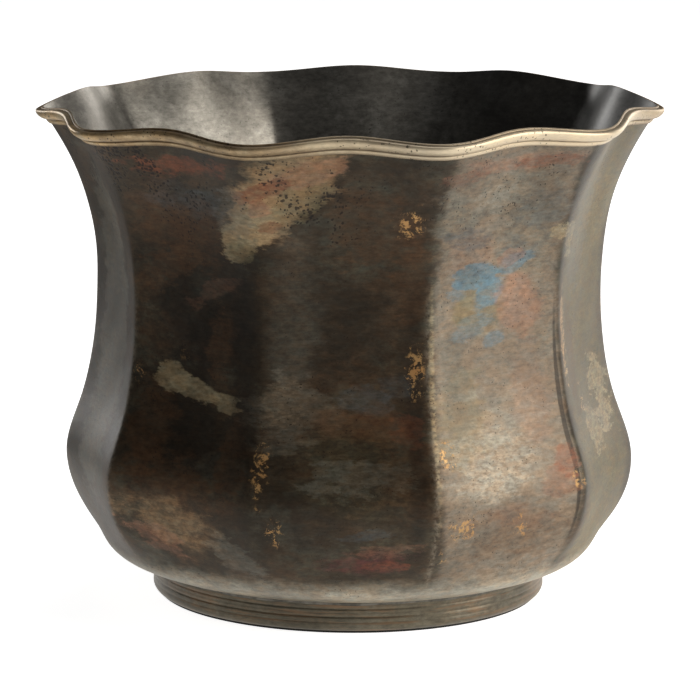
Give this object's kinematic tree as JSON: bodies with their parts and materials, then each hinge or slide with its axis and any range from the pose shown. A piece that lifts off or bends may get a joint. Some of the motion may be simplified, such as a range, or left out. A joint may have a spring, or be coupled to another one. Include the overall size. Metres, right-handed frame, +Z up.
{
  "type": "planter pot",
  "caption": "Waisted, fluted sheet brass planter pot with a rolled, gently waved rim, a flat bottom plate and a round foot ring on a thin pad.",
  "frame": {"origin": "centre of the underside of the foot, on the surface that the pot stands on", "axes": "+Z up along the pot's axis, -Y towards the middle of one flute, X across two ridges"},
  "size_m": [0.3074, 0.2924, 0.245],
  "materials": {
    "aged_brass": "dark uneven patina over brass, satin",
    "rubbed_brass": "patina rubbed back to dull brass on the rim",
    "rim_wire": "plain drawn wire, sealed in the rim",
    "solder": "dull soft solder, darkened with the patina",
    "pad": "black, matt"
  },
  "bodies": {
    "root": {"body_wall": "aged_brass", "rim_band": "rubbed_brass", "rim_wire": "rim_wire", "base_disc": "aged_brass", "foot_solder": "solder", "foot_ring": "aged_brass", "foot_pad": "pad"}
  },
  "joints": []
}
